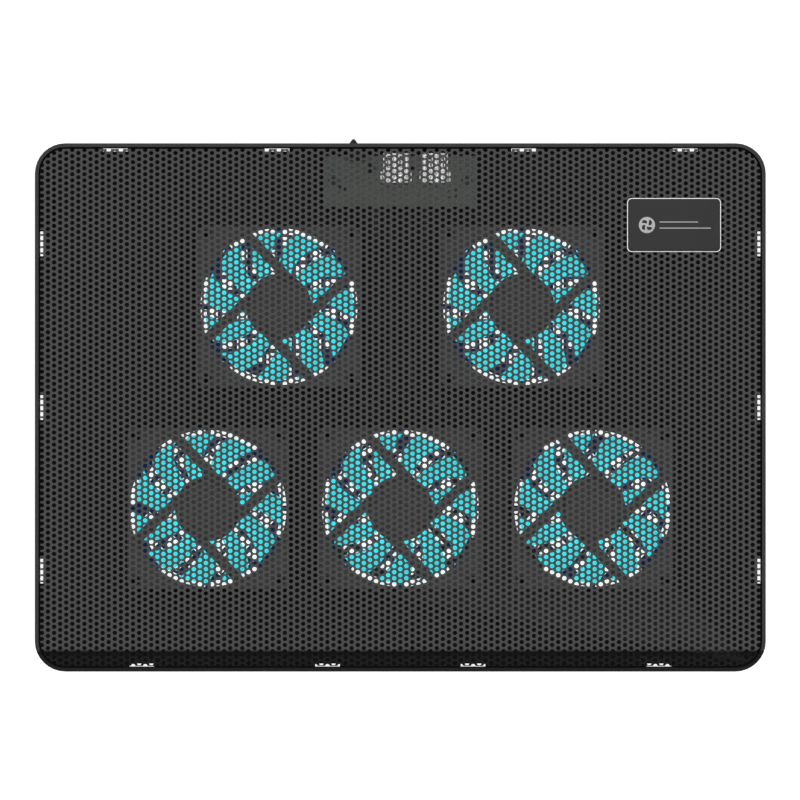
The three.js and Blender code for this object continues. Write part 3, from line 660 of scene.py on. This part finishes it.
def make_fan_frame():
    """Two square flanges joined by a round wall and four corner posts, with a motor plate on four arms."""
    square = rounded_rectangle(FRAME_SIDE, FRAME_SIDE, FRAME_CORNER)
    flange = [square, circle(BORE)] + [circle(SCREW_HOLE, 32, x, y) for x, y in frame_corners()]
    parts = [
        plate("flange_low", flange, FRAME_LOW, FRAME_LOW + FLANGE, 0.3, FRAME_PLASTIC),
        plate("flange_top", flange, FRAME_TOP - FLANGE, FRAME_TOP, 0.3, FRAME_PLASTIC),
        lathe("wall", [(BORE, FRAME_LOW + 0.5), (WALL_OUTSIDE, FRAME_LOW + 0.5),
                       (WALL_OUTSIDE, FRAME_TOP - 0.5), (BORE, FRAME_TOP - 0.5)], FRAME_PLASTIC, 96),
    ]
    for x, y in frame_corners():
        parts.append(plate("post", [circle(POST, 32, x, y), circle(SCREW_HOLE, 32, x, y)],
                           FRAME_LOW + 2, FRAME_TOP - 2, 0.2, FRAME_PLASTIC))
    reach = math.sqrt((BORE + 0.6) ** 2 - ARM_OFFSET ** 2)
    for k in range(4):
        arm = bar("arm", (ARM_OFFSET - ARM_WIDTH / 2, 0, FRAME_TOP - ARM_THICK),
                  (ARM_OFFSET + ARM_WIDTH / 2, reach, FRAME_TOP), 0.45, FRAME_PLASTIC)
        arm.matrix_world = Matrix.Rotation(math.radians(ARM_ANGLE + 90 * k), 4, "Z")
        parts.append(arm)
    top, low = FRAME_TOP, FRAME_TOP - MOTOR_PLATE_THICK
    parts.append(lathe("motor_plate", [
        (0, low), (BEARING_IN, low), (BEARING_IN, low + 0.2), (BEARING_OUT, low + 0.2), (BEARING_OUT, low),
        (MOTOR_PLATE - 0.6, low),
        (MOTOR_PLATE, low + 0.5), (MOTOR_PLATE, top - 0.5), (MOTOR_PLATE - 0.15, top - 0.15),
        (MOTOR_PLATE - 0.5, top), (14.4, top), (14.1, top - 0.12), (13.9, top - 0.35), (0, top - 0.35),
    ], FRAME_PLASTIC, 96))
    parts.append(lathe("bearing_tube", [(BEARING_IN, 9.4), (BEARING_OUT, 9.4), (BEARING_OUT, low + 0.4),
                                        (BEARING_IN, low + 0.4)], FRAME_PLASTIC, 48))
    return merged("fan_frame", parts)


BLADES = 11
BLADE_ROOT, BLADE_TIP = 15.2, 36.8
BLADE_LOW, BLADE_HIGH = 6.4, 14.2
GAP, GAP_AT, GAP_CURVE, BLADE_CAMBER = 5.6, 34.0, 0.0095, 0.12
SWEEP_AT, SWEEP_ANGLE, SWEEP_RATE, SWEEP_CURVE = 27.7, 26.2, -0.83, -0.022
BLADE_HALF, BLADE_BELLY, BLADE_THINNING = 0.28, 0.42, 0.35
TIP_ROUNDING, TIP_TRIM = 3.0, 0.045
CUP, CUP_FACE, CUP_MOUTH, NOSE = 16.0, 5.0, 16.0, 1.6
LAMPS, LAMP_RADIUS, LAMP_RING, LAMP_HEIGHT = 4, 1.5, 41.2, 11.3


def blade_point(radius, v, k):
    """A point of blade k's middle surface, from its low front edge (v=0) to its high rear edge (v=1)."""
    out = radius - SWEEP_AT
    middle = math.radians(SWEEP_ANGLE + SWEEP_RATE * out + SWEEP_CURVE * out * out) + k * TURN / BLADES
    gap = (GAP - GAP_CURVE * (radius - GAP_AT) ** 2) / radius
    angle = middle + gap / 2 + v * (TURN / BLADES - gap)
    height = BLADE_LOW + (BLADE_HIGH - BLADE_LOW) * (v + BLADE_CAMBER * math.sin(math.pi * v))
    return Vector((radius * math.cos(angle), radius * math.sin(angle), height))


def make_blade(k, along=12, across=16):
    """A cambered blade, thickest in its middle, with rounded edges and tip corners."""
    section = [0.5 - 0.5 * math.cos(math.pi * j / across) for j in range(across + 1)]
    vertices = []
    for i in range(along + 1):
        radius = BLADE_ROOT + (BLADE_TIP - BLADE_ROOT) * i / along
        near_tip = max(0.0, (radius - BLADE_TIP + TIP_ROUNDING) / TIP_ROUNDING)
        trim = TIP_TRIM * near_tip ** 2
        rows = []
        for lift in (1, -1):
            for v in section:
                w = trim + v * (1 - 2 * trim)
                half = BLADE_HALF + BLADE_BELLY * math.sin(math.pi * v) ** 0.7
                half *= 1 - BLADE_THINNING * (radius - BLADE_ROOT) / (BLADE_TIP - BLADE_ROOT)
                p = blade_point(radius, w, k)
                rows.append((p + Vector((0, 0, lift * half * 1.15))) * MM)
        vertices += rows[:across + 1] + rows[:across:-1]
    ring = 2 * (across + 1)
    faces = []
    for i in range(along):
        for j in range(ring):
            a, b = i * ring + j, i * ring + (j + 1) % ring
            faces.append((a, b, b + ring, a + ring))
    for i in (0, along):
        for j in range(across):
            a, b = i * ring + j, i * ring + j + 1
            c, d = i * ring + ring - 2 - j, i * ring + ring - 1 - j
            faces.append((a, b, c, d))
    return settle(add_mesh("blade", vertices, faces, BLADE_PLASTIC))


def quarter_turn(steps=6):
    return [math.pi / 2 * i / steps for i in range(steps + 1)]


def make_rotor():
    """A cup with a rounded nose on the intake side, a boss for the shaft and eleven swept blades."""
    nose = [(CUP - NOSE * (1 - math.cos(t)), CUP_FACE + NOSE * (1 - math.sin(t))) for t in quarter_turn()]
    cup = lathe("cup", [
        (CUP, 15.7), (CUP, CUP_FACE + NOSE), *nose[1:], (4.0, CUP_FACE), (3.6, 5.25), (0, 5.25),
        (0, 6.75), (1.6, 6.75), (1.6, 8.8), (3.4, 8.8), (3.4, 7.2), (4.0, 6.6), (13.7, 6.6), (14.5, 7.4),
        (14.5, 15.7), (14.8, CUP_MOUTH), (15.7, CUP_MOUTH),
    ], BLADE_PLASTIC, 88)
    return merged("rotor", [cup] + [make_blade(k) for k in range(BLADES)])


def make_lamp():
    """A small lamp in the frame's wall, pointing at the rotor: a domed lens on a short collar."""
    dome = [(LAMP_RADIUS * math.cos(t), 1.2 + LAMP_RADIUS * math.sin(t)) for t in quarter_turn()]
    profile = [(0, -1.0), (1.8, -1.0), (1.8, -0.2), (LAMP_RADIUS, -0.1), *dome[:-1], (0, 2.7)]
    return lathe("lamp", profile, LAMP_BLUE, 24)


def make_fans():
    frame_shape, rotor_shape, lamp_shape = make_fan_frame(), make_rotor(), make_lamp()
    for name in FAN_NAMES:
        place = fan_place(name)
        housing = repeated(frame_shape, f"fan_{name}_housing", place)
        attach(housing, "base")
        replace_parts(housing, f"fan_{name}_frame")
        blades = repeated(rotor_shape, f"fan_{name}_blades", place, math.radians(FAN_PHASE.get(name, 0)))
        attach(blades, f"rotor_{name}")
        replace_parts(blades, f"fan_{name}_rotor")
        for k in range(LAMPS):
            angle = TURN * (k + 0.5) / LAMPS
            across, along = LAMP_RING * math.cos(angle), LAMP_RING * math.sin(angle)
            spot = place + Vector((across, along, LAMP_HEIGHT)) * MM
            lamp = bpy.data.objects.new(f"fan_{name}_lamp_{k + 1}", lamp_shape.data)
            bpy.context.scene.collection.objects.link(lamp)
            lamp.matrix_world = (Matrix.Translation(spot) @ Matrix.Rotation(angle, 4, "Z")
                                 @ Matrix.Rotation(-math.pi / 2, 4, "Y"))
            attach(lamp, "base")
    for shape in (frame_shape, rotor_shape, lamp_shape):
        bpy.data.objects.remove(shape)


# ------------------------------------------------------------------ tray, feet and pads

FRONT_LIP = -128.7                           # y of the front wall's inner face, from the tray's middle
RIM_BELOW_SHEET = 0.2
TRAY_CORNER = 15 * MM
UNSHADED_RIM_DEPTH = 1.2 * MM                       # how far in from the outline the satin plastic reaches; further in, a darker copy paints the shade inside
RIM_HEIGHT = 22 * MM                         # above this all of the tray keeps its satin plastic, without painted shade
FLOOR_HEIGHT = 4 * MM                        # below this the faces that look down keep the satin plastic, without painted shade
# The lip round a grille, as radius and height in millimetres.
LIP_PROFILE = [(38.95, 1.35), (41.2, 1.35), (41.4, 1.55), (41.4, 3.7),
               (38.95, 3.7), (38.8, 3.55), (38.8, 1.5)]


def depth_inside(x, y):
    """How far a place in plan lies inside the tray's outline."""
    across = abs(x) - (TRAY_HIGH.x - TRAY_CORNER)
    along = abs(y - MIDDLE_Y) - (TRAY_HIGH.y - MIDDLE_Y - TRAY_CORNER)
    return TRAY_CORNER - math.hypot(max(across, 0), max(along, 0)) - min(max(across, along), 0)


def make_tray():
    """The tray, satin outside and with painted shade inside as a darker, duller copy of its plastic, with a
    level front rim and a round lip at each grille.
    """
    tray = refined("base_tray", 0.25, TRAY_PLASTIC)
    tray.data.materials.append(TRAY_INSIDE_SHADE_AND_GLOW)
    lip_y = FRONT_LIP * MM + MIDDLE_Y
    lip_z = bent_points(np.array([[0.0, FRONT_LIP]]), RIM_BELOW_SHEET)[0][2]
    for vertex in tray.data.vertices:
        if vertex.co.y < lip_y and vertex.co.z > SHEET_TOP / 2:
            vertex.co.z = max(vertex.co.z, lip_z)
    # painted shade: faces inside the tray get the darker copy of the plastic, which stands in for the shade
    # there
    for face in tray.data.polygons:
        place = face.center
        outer = depth_inside(place.x, place.y) < UNSHADED_RIM_DEPTH or place.z > RIM_HEIGHT
        under = face.normal.z < -0.3 and place.z < FLOOR_HEIGHT
        face.material_index = 0 if outer or under else 1
    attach(tray, "base")
    lip = lathe("lip", LIP_PROFILE, TRAY_INSIDE_SHADE_AND_GLOW, 128)
    lips = merged("intake_lips", [repeated(lip, "lip_copy", fan_place(name)) for name in FAN_NAMES])
    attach(lips, "base")
    bpy.data.objects.remove(lip)


def make_feet():
    """Both feet with their tips and pins, and the four rubber pads."""
    for side in ("left", "right"):
        leg = refined(f"foot_{side}", 0.45, TRAY_PLASTIC, 3)
        tip = refined(f"foot_tip_{side}", 0.5, RUBBER, 3)
        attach(leg, f"foot_{side}")
        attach(tip, f"foot_{side}")
        pin = refined(f"foot_pin_{side}", 0.2, STEEL)
        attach(pin, "base")
        for place in ("front", "rear"):
            pad = refined(f"rubber_pad_{place}_{side}", 0.4, RUBBER, 3)
            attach(pad, "base")


# ------------------------------------------------------------------ electronics

# In millimetres.
SHELL_HALF, SHELL_WALL = 6.55, 0.35
SPRING_ASIDE, SPRING_TILT = 3.1, math.radians(-12)
WINDOW_WIDTH, WINDOW_LENGTH, WINDOW_BEHIND = 2.6, 5.6, 4.3
LEG_REACH = 1.3
CONTACTS, CONTACT_SPAN = 4, 7.0
TONGUE_THICK = 1.8
SCREW_ASIDE = 33
# The middle of each chip from the tray's middle, then its width, depth and height.
CHIPS = [(-14.55, 118.25, 3.9, 5.3, 1.5), (6.5, 118.5, 2.2, 2.2, 1.1), (-29.8, 108.9, 1.3, 1.3, 0.9),
         (-27.6, 108.1, 1.3, 1.3, 0.9)]
RESISTORS_RIGHT, RESISTORS_REAR = 27.5, 107.5
RESISTOR_STEP_X, RESISTOR_STEP_Y = 3.4, 3.2


def contact_places(middle):
    """The x of each contact in a socket."""
    return [middle - CONTACT_SPAN / 2 + k * CONTACT_SPAN / (CONTACTS - 1) for k in range(CONTACTS)]


def make_port(side):
    """A USB-A socket: folded steel shell with spring windows, side legs and a contact tongue."""
    low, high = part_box(f"usb_shell_{side}")
    x = (low.x + high.x) / 2 / MM
    y0, y1, z0, z1 = low.y / MM, high.y / MM, low.z / MM, high.z / MM
    face = [rounded_rectangle(2 * SHELL_HALF, y1 - y0, 0.3, x, (y0 + y1) / 2, 3)]
    for s in (-1, 1):
        face.append(rounded_rectangle(WINDOW_WIDTH, WINDOW_LENGTH, 0.5, x + s * SPRING_ASIDE,
                                      y1 - WINDOW_BEHIND, 3))
    parts = [plate("top", face, z1 - SHELL_WALL, z1, 0.1, STEEL),
             plate("base", face, z0, z0 + SHELL_WALL, 0.1, STEEL)]
    for s in (-1, 1):
        edge = x + s * SHELL_HALF
        left, right = sorted((edge, edge - s * SHELL_WALL))
        parts.append(bar("side", (left, y0, z0), (right, y1, z1), 0.12, STEEL))
        left, right = sorted((edge, edge + s * LEG_REACH))
        parts.append(bar("leg", (left, y0 + 0.6, z0 + 0.2), (right, y0 + 5.8, z0 + 0.7), 0.15, STEEL))
        spring = bar("spring", (-0.95, -2.7, -0.14), (0.95, 2.5, 0.14), 0.1, STEEL)
        spring_place = Vector((x + s * SPRING_ASIDE, y1 - 4.4, z1 - 0.75)) * MM
        spring.matrix_world = Matrix.Translation(spring_place) @ Matrix.Rotation(SPRING_TILT, 4, "X")
        parts.append(spring)
    parts.append(bar("back", (x - SHELL_HALF, y0, z0), (x + SHELL_HALF, y0 + SHELL_WALL, z1), 0.12, STEEL))
    for at in contact_places(x):
        parts.append(bar("pin", (at - 0.3, y0 - 1.6, z0), (at + 0.3, y0 + 0.2, z0 + 0.3), 0.08, SOLDER))
    shell = merged(f"usb_port_{side}", parts)
    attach(shell, "base")
    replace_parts(shell, f"usb_shell_{side}")
    tongue = refined(f"usb_tongue_{side}", 0.15, BLACK_PLASTIC)
    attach(tongue, "base")
    tongue_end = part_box(f"usb_tongue_{side}")[1] / MM
    front, under = tongue_end.y, tongue_end.z - TONGUE_THICK
    contacts = [bar("contact", (at - 0.5, front - 6.6, under - 0.12), (at + 0.5, front - 0.6, under + 0.05),
                    0.04, GOLD) for at in contact_places(x)]
    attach(merged(f"usb_contacts_{side}", contacts), "base")


def standing_block(name, x, y, base, size, rounding, material):
    """A rounded block on a base, of a width, a depth and a height."""
    width, depth, height = size
    low = (x - width / 2, y - depth / 2, base)
    high = (x + width / 2, y + depth / 2, base + height)
    return bar(name, low, high, rounding, material)


def make_board():
    """The board with its chips, its resistors and the two screws that hold it."""
    low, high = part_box("circuit_board")
    x, y = (low.x + high.x) / 2 / MM, (low.y + high.y) / 2 / MM
    width, depth, top = (high.x - low.x) / MM, (high.y - low.y) / MM, high.z / MM
    outlines = [rounded_rectangle(width, depth, 1, x, y, 4)]
    outlines += [circle(1.6, 24, x + s * SCREW_ASIDE, y) for s in (-1, 1)]
    board = plate("board", outlines, low.z / MM, top, 0.1, BOARD_MASK)
    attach(board, "base")
    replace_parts(board, "circuit_board")
    middle = MIDDLE_Y / MM
    chips = [standing_block("chip", cx, cy + middle, top, (w, d, h), 0.15, BLACK_PLASTIC)
             for cx, cy, w, d, h in CHIPS]
    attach(merged("board_chips", chips), "base")
    small = []
    for k in range(4):
        cx = RESISTORS_RIGHT - (k % 2) * RESISTOR_STEP_X
        cy = middle + RESISTORS_REAR - (k // 2) * RESISTOR_STEP_Y
        small.append(standing_block("body", cx, cy, top, (1.2, 1.24, 0.5), 0.08, BLACK_PLASTIC))
        for s in (-1, 1):
            small.append(standing_block("end", cx + s * 0.85, cy, top, (0.5, 1.3, 0.55), 0.08, SOLDER))
    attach(merged("board_resistors", small), "base")
    for side in ("left", "right"):
        screw = refined(f"board_screw_{side}", 0.15, SCREW_STEEL)
        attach(screw, "base")


def make_switch():
    for node, body in (("switch_body", "base"), ("switch_knob", "switch_knob")):
        piece = refined(node, 0.25, BLACK_PLASTIC, 3)
        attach(piece, body)


# ------------------------------------------------------------------ name plate

# In millimetres.
PLATE_CORNER, BORDER, BORDER_CORNER = 2.3, 0.45, 1.9
INK, INK_DEPTH = 0.05, 0.1                   # thickness of the print, and how far it lies below the border
SIGN_LEFT, SIGN_RADIUS = 13.4, 4.0
PETALS, PETAL_STEPS = 4, 24
RULE_START, RULE_WIDTH = 128.0, 0.45
RULES = [(147.0, 1.5), (153.4, -1.5)]        # where each rule ends, and its place behind the plate's middle


def petal(x, y, turn):
    """A curved petal of the fan sign."""
    points = []
    for i in range(PETAL_STEPS):
        t = TURN * i / PETAL_STEPS
        r = 0.75 + 1.15 * (1 + math.cos(t))
        a = turn + 0.5 * math.sin(t) + 0.28 * r
        points.append((x + r * math.cos(a), y + r * math.sin(a)))
    return points


def make_name_plate():
    """A dark plate with a bright border, a small fan sign and two plain rules."""
    x, y = (PLATE_LOW.x + PLATE_HIGH.x) / 2 / MM, (PLATE_LOW.y + PLATE_HIGH.y) / 2 / MM
    width, depth = (PLATE_HIGH.x - PLATE_LOW.x) / MM, (PLATE_HIGH.y - PLATE_LOW.y) / MM
    low, high = PLATE_LOW.z / MM, PLATE_HIGH.z / MM
    outer = rounded_rectangle(width, depth, PLATE_CORNER, x, y)
    inner = rounded_rectangle(width - 2 * BORDER, depth - 2 * BORDER, BORDER_CORNER, x, y)
    ink = high - INK_DEPTH
    sign_x = x - SIGN_LEFT
    parts = [plate("border", [outer, inner], low, high, 0.1, PLATE_EDGE),
             plate("field", [inner], low, ink, 0.02, PLATE_METAL),
             plate("disc", [circle(SIGN_RADIUS, 64, sign_x, y)], ink, ink + INK, 0.01, PRINT_WHITE)]
    for k in range(PETALS):
        outline = petal(sign_x, y, TURN * k / PETALS)
        parts.append(plate("petal", [outline], ink + 0.03, ink + 0.08, 0.01, PLATE_METAL))
    for end, rise in RULES:
        rule = rounded_rectangle(end - RULE_START, RULE_WIDTH, 0.2, (RULE_START + end) / 2, y + rise, 3)
        parts.append(plate("rule", [rule], ink, ink + INK, 0.01, PRINT_WHITE))
    badge = merged("badge", parts)
    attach(badge, "base")
    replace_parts(badge, "name_plate")


# ------------------------------------------------------------------ carried-over CAD nodes

def finish_cad_nodes():
    """Gives the fans' inner nodes, which keep their CAD shapes, their materials."""
    looks = {"bearing": BRONZE, "stator": COPPER, "magnet": FERRITE, "shaft": STEEL, "lead": JACKET}
    for name in FAN_NAMES:
        for kind, material in looks.items():
            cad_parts[f"fan_{name}_{kind}"].material_slots[0].material = material


make_camera()
make_floor()
make_light()
make_sheet()
make_fans()
make_tray()
make_feet()
for port in ("left", "right"):
    make_port(port)
make_board()
make_switch()
make_name_plate()
finish_cad_nodes()
